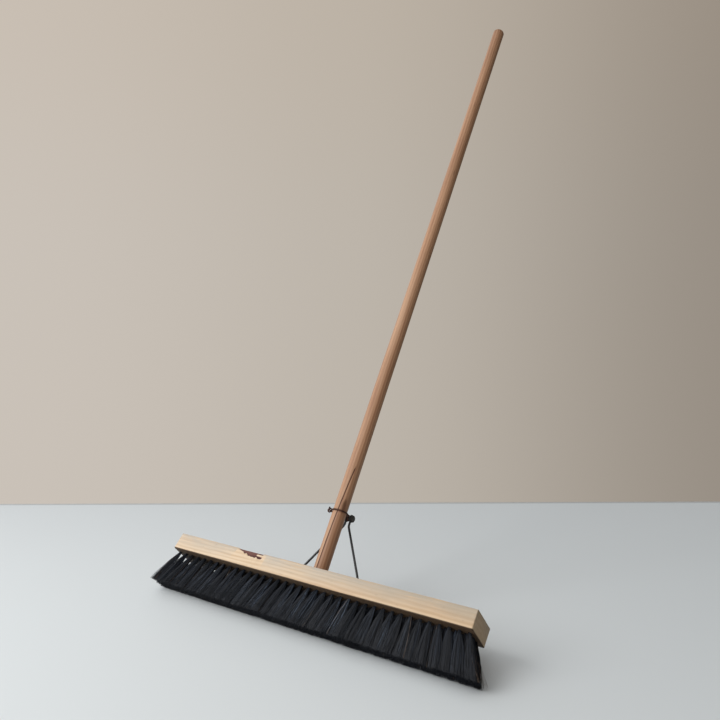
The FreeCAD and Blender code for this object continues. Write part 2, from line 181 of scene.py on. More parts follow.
class BroomStage(bpy.types.PropertyGroup):
    floor: colour("Floor", "Colour of the floor", (0.74, 0.765, 0.76))
    floor_cloud: colour("Floor cloud", "Faint clouds in the floor's paint", (0.66, 0.67, 0.67))
    # Painted shade where the floor meets the backdrop.
    floor_corner_shade: colour("Floor edge", "Dusty line where the floor ends", (0.34, 0.33, 0.31))
    # Backdrop colours paint the window's light falling off towards the far side.
    wall_lit_left: colour("Wall left", "Backdrop on the side of the window", (0.590, 0.537, 0.480))
    wall_middle: colour("Wall middle", "Backdrop in the middle", (0.500, 0.453, 0.395))
    wall_shaded_right: colour("Wall right", "Backdrop on the far side", (0.300, 0.262, 0.222))
    wall_warmth: colour("Wall warmth", "Tint of the backdrop higher up", (0.98, 0.90, 0.81))
    window_side: colour("Window side", "Soft light from the window's side", (0.86, 0.89, 0.93))
    dark_side: colour("Dark side", "Soft light from the other side", (0.10, 0.09, 0.08))
    window_tint: colour("Window tint", "Colour of the window's lamp", (0.97, 0.985, 1.0))
    window_power: power("Window power", "Strength of the window's lamp", 31)
    window_size: length("Window size", "Side of the window's lamp", 1.4)
    room_tint: colour("Room tint", "Colour of the room's lamp", (1.0, 0.96, 0.90))
    room_power: power("Room power", "Strength of the room's lamp", 8)
    room_size: length("Room size", "Side of the room's lamp", 1.8)
    camera_place: FloatVectorProperty(
        name="Camera place", description="Where the camera stands", size=3,
        default=(0.6981, -0.87105, 0.5436), subtype="XYZ", unit="LENGTH")
    camera_turn: angle("Camera turn", "Turn of the camera to the left", 33.4)
    camera_dip: angle("Camera dip", "How far the camera looks down", 5.0)
    camera_roll: angle("Camera roll", "Tilt of the camera about its own line", -0.2)
    camera_lens: FloatProperty(name="Lens", description="Lens for a 36 mm picture",
                               default=35.16, subtype="DISTANCE_CAMERA")
    floor_reach: length("Floor reach", "Camera to the floor's far edge", 1.838)
    floor_depth: length("Floor depth", "Near edge to far edge", 5.0)
    floor_width: length("Floor width", "Across the picture", 9.0)


# ------------------------------------------------------------------ places

def head_frame(scene):
    """From the level block (origin under its middle) to where it stands on the floor."""
    posture, bristles = scene.broom_posture, scene.broom_bristles
    turn = Matrix.Rotation(-posture.head_tilt, 4, "X")
    back_row = (bristles.rows - 1) / 2 * bristles.row_pitch
    contact = turn @ Vector((0, back_row + bristles.tip_radius, -bristles.trim))
    return Matrix.Translation((0, -contact.y, -contact.z - posture.floor_wear)) @ turn


def handle_frame(scene):
    """From a pole standing on its own axis to where it stands in the block."""
    rise = Matrix.Translation((scene.broom_handle.offset, 0, scene.broom_block.thickness))
    return head_frame(scene) @ rise @ Matrix.Rotation(scene.broom_posture.handle_set, 4, "X")


def tuft_places(scene):
    """(row, x, y) of every tuft on the level block."""
    bristles = scene.broom_bristles
    places = []
    for row in range(bristles.rows):
        count = bristles.long_row - row % 2
        y = (row - (bristles.rows - 1) / 2) * bristles.row_pitch
        for i in range(count):
            places.append((row, (i - (count - 1) / 2) * bristles.tuft_pitch, y))
    return places


def tuft_lean(scene, x):
    """Sideways lean of a tuft from its place along the block."""
    bristles = scene.broom_bristles
    along = x / (scene.broom_block.length / 2)
    combed = bristles.lean_left
    combed += (bristles.lean_right - bristles.lean_left) * ((along + 1) / 2) ** 3
    return combed + math.copysign(bristles.end_splay * along ** 6, along)


def smooth(low, high, value):
    """0 below low, 1 above high, and a smooth step between them."""
    t = min(1.0, max(0.0, (value - low) / (high - low)))
    return t * t * (3 - 2 * t)


# ------------------------------------------------------------------ pieces

def finished_piece(name, bm, material, sharp_degrees=35):
    """Turns a bmesh into a smooth-shaded object at the origin."""
    mesh = bpy.data.meshes.new(name)
    bm.to_mesh(mesh)
    bm.free()
    mesh.polygons.foreach_set("use_smooth", [True] * len(mesh.polygons))
    mesh.set_sharp_from_angle(angle=math.radians(sharp_degrees))
    mesh.materials.append(material)
    piece = bpy.data.objects.new(name, mesh)
    bpy.context.scene.collection.objects.link(piece)
    return piece


def repaint(node, material):
    """Gives a CAD node its finish."""
    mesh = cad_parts[node].data
    mesh.materials.clear()
    mesh.materials.append(material)


# ------------------------------------------------------------------ material helpers

class Value:
    """A number or vector from a material node; arithmetic on it adds Math nodes."""

    def __init__(self, finish, socket):
        self.finish = finish
        self.socket = socket

    def maths(self, operation, *terms):
        return self.finish.node("ShaderNodeMath", {"operation": operation},
                                dict(enumerate(terms)))

    def __add__(self, other):
        return self.maths("ADD", self, other)

    __radd__ = __add__

    def __sub__(self, other):
        return self.maths("SUBTRACT", self, other)

    def __rsub__(self, other):
        return self.maths("SUBTRACT", other, self)

    def __mul__(self, other):
        return self.maths("MULTIPLY", self, other)

    __rmul__ = __mul__

    def __abs__(self):
        return self.maths("ABSOLUTE", self)


class Finish:
    """A material, or the backdrop, under construction."""

    def __init__(self, name):
        self.material = bpy.data.materials.new(name)
        self.start(self.material)

    def start(self, owner):
        """Empties the node tree of a material or a world."""
        owner.use_nodes = True
        self.tree = owner.node_tree
        self.tree.nodes.clear()

    def node(self, kind, settings=None, values=None, output=None):
        """Adds a node, sets it up, then fills or links its sockets; returns one output."""
        node = self.tree.nodes.new(kind)
        for key, setting in (settings or {}).items():
            if key == "stops":
                self.set_stops(node.color_ramp, setting)
            else:
                setattr(node, key, setting)
        for key, value in (values or {}).items():
            socket = self.find(node.inputs, key)
            if isinstance(value, Value):
                self.tree.links.new(value.socket, socket)
            else:
                socket.default_value = value
        return Value(self, self.find(node.outputs, output if output is not None else 0))

    @staticmethod
    def find(sockets, key):
        """The enabled socket with that name or place."""
        live = [s for s in sockets if s.enabled]
        return live[key] if isinstance(key, int) else next(s for s in live if s.name == key)

    @staticmethod
    def set_stops(ramp, stops):
        while len(ramp.elements) < len(stops):
            ramp.elements.new(0.5)
        for element, (place, tone) in zip(ramp.elements, stops):
            element.position = place
            element.color = tone if len(tone) == 4 else (*tone, 1)

    def place(self, turn=(0, 0, 0), scale=(1, 1, 1), shift=(0, 0, 0)):
        """Object coordinates, shifted, turned and scaled, in that order."""
        coordinates = self.node("ShaderNodeTexCoord", output="Object")
        turned = self.node("ShaderNodeMapping", {"vector_type": "TEXTURE"},
                           {"Vector": coordinates, "Location": shift, "Rotation": turn})
        return self.node("ShaderNodeMapping", {"vector_type": "POINT"},
                         {"Vector": turned, "Scale": scale})

    def noise(self, vector, scale, detail=3.0, roughness=0.55, distortion=0.0):
        return self.node("ShaderNodeTexNoise", {},
                         {"Vector": vector, "Scale": scale, "Detail": detail,
                          "Roughness": roughness, "Distortion": distortion}, "Fac")

    def band(self, value, low, high):
        """0 at low, 1 at high, held beyond them; high may be the smaller one."""
        return self.node("ShaderNodeMapRange", {"interpolation_type": "SMOOTHSTEP"},
                         {"Value": value, "From Min": low, "From Max": high}, "Result")

    def mix(self, amount, first, second, blend="MIX"):
        """Blends two colours."""
        def as_colour(tone):
            return tone if isinstance(tone, Value) else (*tone[:3], 1)
        return self.node("ShaderNodeMix", {"data_type": "RGBA", "blend_type": blend},
                         {"Factor": amount, "A": as_colour(first), "B": as_colour(second)},
                         "Result")

    def attribute(self, name):
        return self.node("ShaderNodeAttribute", {"attribute_name": name}, output="Fac")

    def bump(self, height, distance, strength=1.0):
        values = {"Height": height, "Distance": distance, "Strength": strength}
        return self.node("ShaderNodeBump", {}, values, "Normal")

    def surface(self, **sockets):
        """Closes the material with one Principled shader."""
        values = {key.replace("_", " "): value for key, value in sockets.items()}
        shader = self.node("ShaderNodeBsdfPrincipled", {}, values)
        self.close(shader)
        return self.material

    def close(self, shader):
        output = self.tree.nodes.new("ShaderNodeOutputMaterial")
        self.tree.links.new(shader.socket, output.inputs["Surface"])


class Backdrop(Finish):
    """The world's own node tree."""

    def __init__(self, world):
        self.start(world)


# ------------------------------------------------------------------ finishes

def block_wood(scene):
    """Pale wood whose growth rings run along the block, with grime, a dark chip, painted shade
    on the underside and ends, and painted sheen on the top edges.
    """
    wood, posture = scene.broom_block, scene.broom_posture
    f = Finish("block_wood")
    start = head_frame(scene).to_translation()
    turn = (-posture.head_tilt, 0, 0)
    board = f.place(turn=turn, shift=tuple(start))
    wander = f.noise(f.place(turn=turn, shift=tuple(start), scale=(2.2, 26, 26)), 1.0, 3, 0.5)
    ringed = f.node("ShaderNodeMapping", {"vector_type": "POINT"},
                    {"Vector": board, "Location": (0.0, 0.012, 0.055), "Scale": (0.16, 1, 1)})
    rings = f.node("ShaderNodeTexWave",
                   {"wave_type": "RINGS", "rings_direction": "X", "wave_profile": "SIN"},
                   {"Vector": ringed, "Scale": 46.0, "Distortion": 13.0, "Detail": 4.0,
                    "Detail Scale": 0.22, "Detail Roughness": 0.62}, "Fac")
    fibre = f.noise(f.place(turn=turn, shift=tuple(start), scale=(22, 560, 560)), 1.0, 5, 0.62)
    streak = f.noise(f.place(turn=turn, shift=tuple(start), scale=(6.5, 120, 120)), 1.0, 4, 0.6)
    patch = f.noise(f.place(turn=turn, shift=tuple(start), scale=(9, 24, 24)), 1.0, 4, 0.55)
    fleck = f.noise(f.place(turn=turn, shift=tuple(start), scale=(60, 330, 330)), 1.0, 3, 0.6)
    figure = rings * 0.20 + streak * 0.50 + fibre * 0.32
    tone = f.mix(f.band(figure, 0.34, 0.72) * 0.75, wood.pale, wood.grain)
    tone = f.mix(f.band(wander, 0.48, 0.80) * 0.45, tone, wood.blush)
    tone = f.mix(f.band(patch, 0.58, 0.80) * 0.30, tone, wood.grime)
    tone = f.mix(f.band(fleck, 0.62, 0.74) * 0.50, tone, wood.pore)
    tone = f.mix(f.band(fibre, 0.66, 0.80) * 0.22, tone, wood.pore)
    # Dust and painted sheen: the top long edges turn grey in patches.
    worn = f.attribute("edge") * f.band(patch * 0.6 + fibre * 0.5, 0.36, 0.66)
    tone = f.mix(worn * 0.80, tone, wood.dust_and_sheen)
    along = f.node("ShaderNodeSeparateXYZ", {}, {"Vector": board}, "X")
    height = f.node("ShaderNodeSeparateXYZ", {}, {"Vector": board}, "Z")
    # Darker and yellower towards the right end.
    tone = f.mix(f.band(along, -0.12, 0.30) * 0.55, tone, wood.right_end_tint, "MULTIPLY")
    # Ends: real end grain, darkened further with painted shade.
    ends = f.band(abs(along), wood.length / 2 - 0.0016, wood.length / 2 - 0.0006)
    tone = f.mix(ends * 0.60, tone, wood.end_grain_shade)
    # Painted shade with some staining: the bristle face and the lowest strip of the front go
    # nearly black.
    under = f.band(height + (streak - 0.5) * 0.002, 0.0016, 0.0006)
    tone = f.mix(under * 0.92, tone, f.mix(streak, wood.underside_shade, wood.underside_pale))
    chipped = f.band(f.attribute("chip") + (fleck - 0.5) * 0.30, 0.34, 0.60)
    lip = f.band(f.attribute("chip"), 0.10, 0.34) * (1 - chipped)
    tone = f.mix(lip * 0.45, tone, wood.chip_lip)
    tone = f.mix(chipped, tone, f.mix(f.band(streak, 0.4, 0.7) * 0.6, wood.chip, wood.chip_lip))
    relief = f.bump(figure * 0.5 + fibre * 0.5, 0.0004, 0.5)
    return f.surface(Base_Color=tone, Roughness=0.58 + fibre * 0.2 + chipped * 0.1,
                     Normal=relief, Specular_IOR_Level=0.35)


def handle_wood(scene):
    """Old reddish-brown wood with long grain, stains, small knots, a dark crack and a painted
    highlight along one side of it.
    """
    wood, posture = scene.broom_handle, scene.broom_posture
    f = Finish("handle_wood")
    start = tuple(handle_frame(scene).to_translation())
    turn = (posture.handle_set - posture.head_tilt, 0, 0)
    pole = f.place(turn=turn, shift=start)
    slow = f.noise(f.place(turn=turn, shift=start, scale=(26, 26, 2.6)), 1.0, 3, 0.5)
    streak = f.noise(f.place(turn=turn, shift=start, scale=(170, 170, 4.5)), 1.0, 4, 0.6, 0.4)
    fibre = f.noise(f.place(turn=turn, shift=start, scale=(900, 900, 22)), 1.0, 5, 0.65)
    ringed = f.node("ShaderNodeMapping", {"vector_type": "POINT"},
                    {"Vector": pole, "Location": (0.020, 0.034, 0), "Scale": (1, 1, 0.03)})
    rings = f.node("ShaderNodeTexWave",
                   {"wave_type": "RINGS", "rings_direction": "Z", "wave_profile": "SIN"},
                   {"Vector": ringed, "Scale": 60.0, "Distortion": 9.0, "Detail": 3.0,
                    "Detail Scale": 0.3, "Detail Roughness": 0.6}, "Fac")
    figure = rings * 0.16 + streak * 0.60 + fibre * 0.30
    tone = f.mix(f.band(figure, 0.36, 0.74), wood.tan, wood.brown)
    tone = f.mix(f.band(slow, 0.50, 0.76) * 0.55, tone, wood.dark)
    tone = f.mix(f.band(slow, 0.46, 0.22) * 0.40, tone, wood.bright)
    pores = f.band(fibre, 0.62, 0.78)
    tone = f.mix(pores * 0.45, tone, wood.dark)
    dots = f.node("ShaderNodeTexVoronoi", {"feature": "F1"},
                  {"Vector": f.place(turn=turn, shift=start, scale=(30, 30, 9)), "Scale": 1.0,
                   "Randomness": 1.0}, "Distance")
    knots = f.band(dots, 0.16, 0.06)
    tone = f.mix(knots * 0.7, tone, wood.stain)
    off = f.attribute("off_crack")
    near_crack = f.attribute("near_crack")
    half = wood.crack_width / 2
    jitter = (fibre - 0.5) * (wood.crack_width * 0.35)
    split = f.band(abs(off + jitter), half * 1.4, half * 0.8) * f.band(near_crack, 0.15, 0.4)
    # Painted highlight: a paler lit strip along one side of the crack.
    beside = f.band(off, -0.0065, -0.002) * f.band(off, 0.0002, -0.0004)
    tone = f.mix(beside * near_crack * 0.45, tone, wood.bright)
    tone = f.mix(split, tone, wood.stain)
    tone = f.mix(f.attribute("clamped") * 0.75, tone, wood.stain)
    relief = f.bump(figure * 0.6 + fibre * 0.5 - knots * 0.3, 0.0003, 0.5)
    return f.surface(Base_Color=tone, Roughness=0.44 + fibre * 0.22 + split * 0.3,
                     Normal=relief, Specular_IOR_Level=0.4, Coat_Weight=0.06,
                     Coat_Roughness=0.35)


def bristle_fibre(scene):
    """Black bristle: each strand has its own tone, paler towards its middle from dust and
    painted sheen, with painted glints, painted shade at the roots and darker tips.
    """
    fibre = scene.broom_bristles
    f = Finish("bristle_fibre")
    tone_share = f.attribute("tone")
    along = f.attribute("along")
    straw = f.attribute("straw")
    speck = f.noise(f.place(scale=(300, 300, 300)), 1.0, 2, 0.5)
    # Dust and painted sheen: strands go paler blue-grey away from their tips.
    grey = f.band(tone_share, 0.45, 0.98) * (1 - f.band(along, 0.60, 1.0) * 0.55)
    tone = f.mix(grey * (0.4 + speck * 0.9), fibre.black, fibre.bloom_and_sheen)
    lit = f.band(tone_share, 0.80, 0.96) * f.band(speck, 0.35, 0.6)
    tone = f.mix(lit * (1 - f.band(along, 0.75, 1.0)), tone, fibre.glint)
    # Painted shade: near-black where the bristles crowd into the block.
    tone = f.mix(f.band(along, 0.10, 0.0) * 0.7, tone, fibre.black)
    tone = f.mix(f.band(along, 0.88, 1.0) * 0.5, tone, fibre.black)
    tone = f.mix(straw, tone, fibre.straw)
    return f.surface(Base_Color=tone, Roughness=0.40 + speck * 0.2, Specular_IOR_Level=0.26,
                     Normal=f.bump(speck, 0.00005, 0.3))


def black_wire(scene):
    """Stoved black wire, scuffed to bare steel in places."""
    metal = scene.broom_metal
    f = Finish("black_wire")
    coarse = f.noise(f.place(), 190.0, 4, 0.6)
    fine = f.noise(f.place(), 1400.0, 3, 0.6)
    worn = f.band(coarse * 0.7 + fine * 0.35, 0.64, 0.76)
    tone = f.mix(coarse, metal.black, metal.scuffed)
    tone = f.mix(worn * 0.45, tone, metal.bare)
    return f.surface(Base_Color=tone, Metallic=worn * 0.6, Roughness=0.42 + fine * 0.25,
                     Normal=f.bump(coarse * 0.4 + fine * 0.6, 0.0002, 0.5))


def rusty_wire(scene):
    """Wire rusted all over, with fresh specks and a little bare metal."""
    metal = scene.broom_metal
    f = Finish("rusty_wire")
    coarse = f.noise(f.place(), 260.0, 5, 0.65)
    fine = f.noise(f.place(), 1700.0, 4, 0.7)
    tone = f.mix(f.band(coarse, 0.38, 0.66), metal.dark_rust, metal.rust)
    tone = f.mix(f.band(fine, 0.58, 0.74) * 0.45, tone, metal.fresh_rust)
    bare = f.band(coarse + fine * 0.3, 0.78, 0.90)
    tone = f.mix(bare * 0.6, tone, metal.dull)
    return f.surface(Base_Color=tone, Metallic=0.25 + bare * 0.5,
                     Roughness=0.72 + fine * 0.2 - bare * 0.25,
                     Normal=f.bump(coarse * 0.5 + fine * 0.6, 0.00025, 0.7))


def dull_steel(scene, name, tarnish, seed):
    """Plated steel, tarnished by a chosen share, with a few rust blooms."""
    metal = scene.broom_metal
    f = Finish(name)
    spot = f.place(shift=(seed, seed * 0.7, -seed))
    coarse = f.noise(spot, 320.0, 5, 0.6)
    fine = f.noise(spot, 2100.0, 3, 0.6)
    stained = f.band(coarse + tarnish - 0.5, 0.38, 0.66)
    tone = f.mix(stained, metal.steel, metal.dull)
    rusted = f.band(coarse * 0.6 + fine * 0.5, 0.63, 0.72)
    tone = f.mix(rusted * 0.8, tone, metal.rust)
    return f.surface(Base_Color=tone, Metallic=1.0 - rusted * 0.8,
                     Roughness=0.34 + stained * 0.22 + rusted * 0.3,
                     Normal=f.bump(coarse * 0.4 + fine * 0.5, 0.00015, 0.45))


def floor_paint(scene, ahead, edge):
    """Pale paint with faint clouds and a painted shade line along the far edge, where the floor
    meets the backdrop.
    """
    stage = scene.broom_stage
    f = Finish("floor_paint")
    cloudy = f.noise(f.place(), 3.0, 3, 0.5)
    tone = f.mix(cloudy * 0.12, stage.floor, stage.floor_cloud)
    reach = f.node("ShaderNodeVectorMath", {"operation": "DOT_PRODUCT"},
                   {0: f.place(), 1: tuple(ahead)}, "Value")
    # Painted shade: a darker line along the far edge, where the floor meets the backdrop.
    tone = f.mix(f.band(reach, edge - 0.016, edge - 0.006) * 0.55, tone, stage.floor_corner_shade)
    return f.surface(Base_Color=tone, Roughness=0.55 + cloudy * 0.1)


# ------------------------------------------------------------------ operators

class BROOM_OT_stage(bpy.types.Operator):
    """Set the pale floor, the backdrop, the soft window light and the camera"""
    bl_idname = "broom.stage"
    bl_label = "Stage"

    def execute(self, context):
        scene = context.scene
        stage = scene.broom_stage
        scene.view_settings.view_transform = "Standard"
        place = Vector(stage.camera_place)
        ahead = Vector((-math.sin(stage.camera_turn), math.cos(stage.camera_turn), 0))
        right = Vector((math.cos(stage.camera_turn), math.sin(stage.camera_turn), 0))
        self.add_floor(scene, stage, place, ahead)
        self.add_backdrop(scene, stage, right)
        self.add_lights(scene, stage, ahead, right)
        self.add_camera(scene, stage, place)
        return {"FINISHED"}

    def add_floor(self, scene, stage, place, ahead):
        bm = bmesh.new()
        depth = stage.floor_depth
        bmesh.ops.create_grid(bm, x_segments=8, y_segments=8, size=0.5)
        bmesh.ops.scale(bm, vec=(stage.floor_width, depth, 1), verts=bm.verts)
        bmesh.ops.rotate(bm, matrix=Matrix.Rotation(stage.camera_turn, 3, "Z"), verts=bm.verts)
        far_edge = Vector((place.x, place.y, 0)) + ahead * (stage.floor_reach - depth / 2)
        bmesh.ops.translate(bm, vec=far_edge, verts=bm.verts)
        edge = (far_edge + ahead * depth / 2).dot(ahead)
        floor = finished_piece("floor", bm, floor_paint(scene, ahead, edge))

    def add_backdrop(self, scene, stage, right):
        world = bpy.data.worlds.new("backdrop")
        scene.world = world
        f = Backdrop(world)
        direction = f.node("ShaderNodeTexCoord", output="Generated")
        sideways = f.node("ShaderNodeVectorMath", {"operation": "DOT_PRODUCT"},
                          {0: direction, 1: tuple(right)}, "Value")
        upward = f.node("ShaderNodeSeparateXYZ", {}, {"Vector": direction}, "Z")
        # Painted light and shade: the backdrop the camera sees is lighter on the window side and
        # darker on the far side.
        tone = f.mix(f.band(sideways, -0.50, 0.10), stage.wall_lit_left, stage.wall_middle)
        tone = f.mix(f.band(sideways, -0.02, 0.55), tone, stage.wall_shaded_right)
        tone = f.mix(f.band(upward, 0.05, 0.40) * 0.30, tone, stage.wall_warmth, "MULTIPLY")
        seen = f.node("ShaderNodeLightPath", output="Is Camera Ray")
        daylight = f.mix(f.band(sideways, -0.75, 0.65), stage.window_side, stage.dark_side)
        glow = f.node("ShaderNodeBackground", {}, {"Color": f.mix(seen, daylight, tone),
                                                   "Strength": 1.0})
        output = f.tree.nodes.new("ShaderNodeOutputWorld")
        f.tree.links.new(glow.socket, output.inputs["Surface"])

    def add_lights(self, scene, stage, ahead, right):
        """Two square lamps that look at the lower part of the broom."""
        middle = Vector((0, 0.15, 0.25))
        for name, offset, size, energy, tint in (
            ("window", right * -1.75 - ahead * 0.85 + Vector((0, 0, 1.2)),
             stage.window_size, stage.window_power, stage.window_tint),
            ("room", ahead * -1.2 - right * 0.7 + Vector((0, 0, 2.2)),
             stage.room_size, stage.room_power, stage.room_tint),
        ):
            data = bpy.data.lights.new(name, "AREA")
            data.shape, data.size, data.energy, data.color = "SQUARE", size, energy, tint
            lamp = bpy.data.objects.new(name, data)
            scene.collection.objects.link(lamp)
            lamp.location = middle + offset
            lamp.rotation_euler = (-offset).to_track_quat("-Z", "Y").to_euler()

    def add_camera(self, scene, stage, place):
        data = bpy.data.cameras.new("camera")
        data.lens = stage.camera_lens
        camera = bpy.data.objects.new("camera", data)
        scene.collection.objects.link(camera)
        level = Matrix.Rotation(stage.camera_turn, 4, "Z")
        dip = Matrix.Rotation(math.pi / 2 - stage.camera_dip, 4, "X")
        roll = Matrix.Rotation(stage.camera_roll, 4, "Z")
        camera.matrix_world = Matrix.Translation(place) @ level @ dip @ roll
        scene.camera = camera


class BROOM_OT_block(bpy.types.Operator):
    """Shape the worn wooden block with its tuft holes, handle socket and chip"""
    bl_idname = "broom.block"
    bl_label = "Block"

    def execute(self, context):
        scene = context.scene
        wood = scene.broom_block
        bm = bmesh.new()
        size = Matrix.Diagonal((wood.length, wood.depth, wood.thickness, 1))
        bmesh.ops.create_cube(bm, size=1, matrix=Matrix.Translation((0, 0, wood.thickness / 2))
                              @ size)
        self.ease_edges(bm, wood)
        self.divide(bm, wood)
        self.wear(bm, wood)
        shell = finished_piece("block_wooden", bm, block_wood(scene), 40)
        self.cut_holes(scene, shell)
        shell.data.transform(head_frame(scene))
        shell.data.update()
        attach(shell, "head")
        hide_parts("block")
        return {"FINISHED"}

    def ease_edges(self, bm, wood):
        """Rounds the upright corners, the long top edges, then all other edges."""
        def upright(edge, front_left):
            a, b = edge.verts
            worn = a.co.x < 0 and a.co.y < 0
            return abs(a.co.z - b.co.z) > wood.thickness / 2 and worn == front_left
        for front_left, radius in ((True, wood.worn_corner), (False, wood.corner_round)):
            edges = [e for e in bm.edges if upright(e, front_left)]
            bmesh.ops.bevel(bm, geom=edges, offset=radius, offset_type="OFFSET",
                            affect="EDGES", segments=4, profile=0.5, material=-1)
        reach = wood.length / 4
        long_top = [e for e in bm.edges if e.calc_length() > reach
                    and all(v.co.z > wood.thickness * 0.9 for v in e.verts)]
        bmesh.ops.bevel(bm, geom=long_top, offset=wood.edge_round, offset_type="OFFSET",
                        affect="EDGES", segments=3, profile=0.5, material=-1)
        sharp = [e for e in bm.edges if len(e.link_faces) == 2
                 and e.calc_face_angle() > math.radians(50)]
        bmesh.ops.bevel(bm, geom=sharp, offset=wood.small_edge, offset_type="OFFSET",
                        affect="EDGES", segments=2, profile=0.5, material=-1)

    def divide(self, bm, wood):
        """Cuts the block into short lengths, and finer where the chip is."""
        spacing, fine_spacing, margin = 0.010, 0.0015, 0.004
        cuts = [x * spacing for x in range(-30, 31)]
        start, end = wood.chip_start - margin, wood.chip_end + margin
        fine = int((end - start) / fine_spacing)
        cuts += [start + (end - start) * i / fine for i in range(fine + 1)]
        for x in cuts:
            geometry = bm.verts[:] + bm.edges[:] + bm.faces[:]
            bmesh.ops.bisect_plane(bm, geom=geometry, plane_co=(x, 0, 0), plane_no=(1, 0, 0))
        behind = -wood.depth / 2 + wood.edge_round * 1.3
        for y in (behind, behind + 0.002):
            geometry = bm.verts[:] + bm.edges[:] + bm.faces[:]
            bmesh.ops.bisect_plane(bm, geom=geometry, plane_co=(0, y, 0), plane_no=(0, 1, 0))
        lowest, step = 0.0185, 0.0009
        for z in (lowest + step * i for i in range(10)):
            near = [f for f in bm.faces if start < f.calc_center_median().x < end]
            geometry = list({v for f in near for v in f.verts}) \
                + list({e for f in near for e in f.edges}) + near
            bmesh.ops.bisect_plane(bm, geom=geometry, plane_co=(0, 0, z), plane_no=(0, 0, 1))

    def wear(self, bm, wood):
        """Makes the surfaces slightly uneven, breaks out the chip and marks both."""
        edge_mark = bm.verts.layers.float.new("edge")
        chip_mark = bm.verts.layers.float.new("chip")
        for vert in bm.verts:
            x, y, z = vert.co
            front = y < -wood.depth / 2 + wood.edge_round * 1.2
            top = z > wood.thickness - wood.edge_round * 1.1
            back = y > wood.depth / 2 - wood.edge_round * 1.2
            vert[edge_mark] = 1.0 if top and (front or back) else 0.0
            rough = noise.noise(Vector((x * 40, y * 60, z * 60)))
            vert.co += Vector((0, -y, wood.thickness / 2 - z)).normalized() * (
                abs(rough) * wood.wear)
            if front:
                inside = self.chip_share(wood, x, wood.thickness - z)
                vert.co += Vector((0, 0.9, -0.45)) * wood.chip_depth * inside
                vert[chip_mark] = inside

    def chip_share(self, wood, x, below):
        """1 inside the chip: thin at the left, then thick, ending in two prongs."""
        along = (x - wood.chip_start) / (wood.chip_end - wood.chip_start)
        if not -0.1 < along < 1.1:
            return 0.0
        ragged = 1 + 0.35 * noise.noise(Vector((x * 210, 3.1, 0)))
        foot = wood.chip_drop * min(1.0, 0.18 + along * 1.5) * ragged
        body = smooth(-0.04, 0.10, along) * smooth(1.02, 0.90, along)
        body *= 1 - smooth(foot * 0.85, foot * 1.15, below)
        cleft = smooth(0.66, 0.80, along)
        between = smooth(0.26, 0.36, below / wood.chip_drop) \
            * (1 - smooth(0.58, 0.72, below / wood.chip_drop))
        return body * (1 - cleft * between)

    def cut_holes(self, scene, shell):
        """Drills the tuft holes and the handle's socket."""
        wood, bristles = scene.broom_block, scene.broom_bristles
        bm = bmesh.new()
        reach = 0.002  # how far the drill starts below the block
        for _, x, y in tuft_places(scene):
            depth = bristles.hole_depth + reach
            place = Matrix.Translation((x, y, (bristles.hole_depth - reach) / 2))
            bmesh.ops.create_cone(bm, cap_ends=True, segments=14, radius1=bristles.hole_radius,
                                  radius2=bristles.hole_radius, depth=depth, matrix=place)
        rise = scene.broom_handle.taper_rise
        depth = wood.socket_depth + rise
        grow = (wood.socket_radius - wood.socket_foot) / wood.socket_depth
        place = Matrix.Translation((scene.broom_handle.offset, 0, wood.thickness)) \
            @ Matrix.Rotation(scene.broom_posture.handle_set, 4, "X") \
            @ Matrix.Translation((0, 0, rise - depth / 2))
        bmesh.ops.create_cone(bm, cap_ends=True, segments=48, radius1=wood.socket_foot,
                              radius2=wood.socket_radius + grow * rise, depth=depth,
                              matrix=place)
        mesh = bpy.data.meshes.new("drill")
        bm.to_mesh(mesh)
        bm.free()
        drill = bpy.data.objects.new("drill", mesh)
        scene.collection.objects.link(drill)
        cut = shell.modifiers.new("holes", "BOOLEAN")
        cut.operation, cut.solver, cut.object = "DIFFERENCE", "EXACT", drill
        graph = bpy.context.evaluated_depsgraph_get()
        drilled = bpy.data.meshes.new_from_object(shell.evaluated_get(graph))
        shell.modifiers.clear()
        if len(drilled.polygons) < 2000:
            raise RuntimeError("the block's holes weren't cut")
        shell.data = drilled
        drilled.name = "block_wooden"
        drilled.set_sharp_from_angle(angle=math.radians(40))
        bpy.data.objects.remove(drill)
        bpy.data.meshes.remove(mesh)


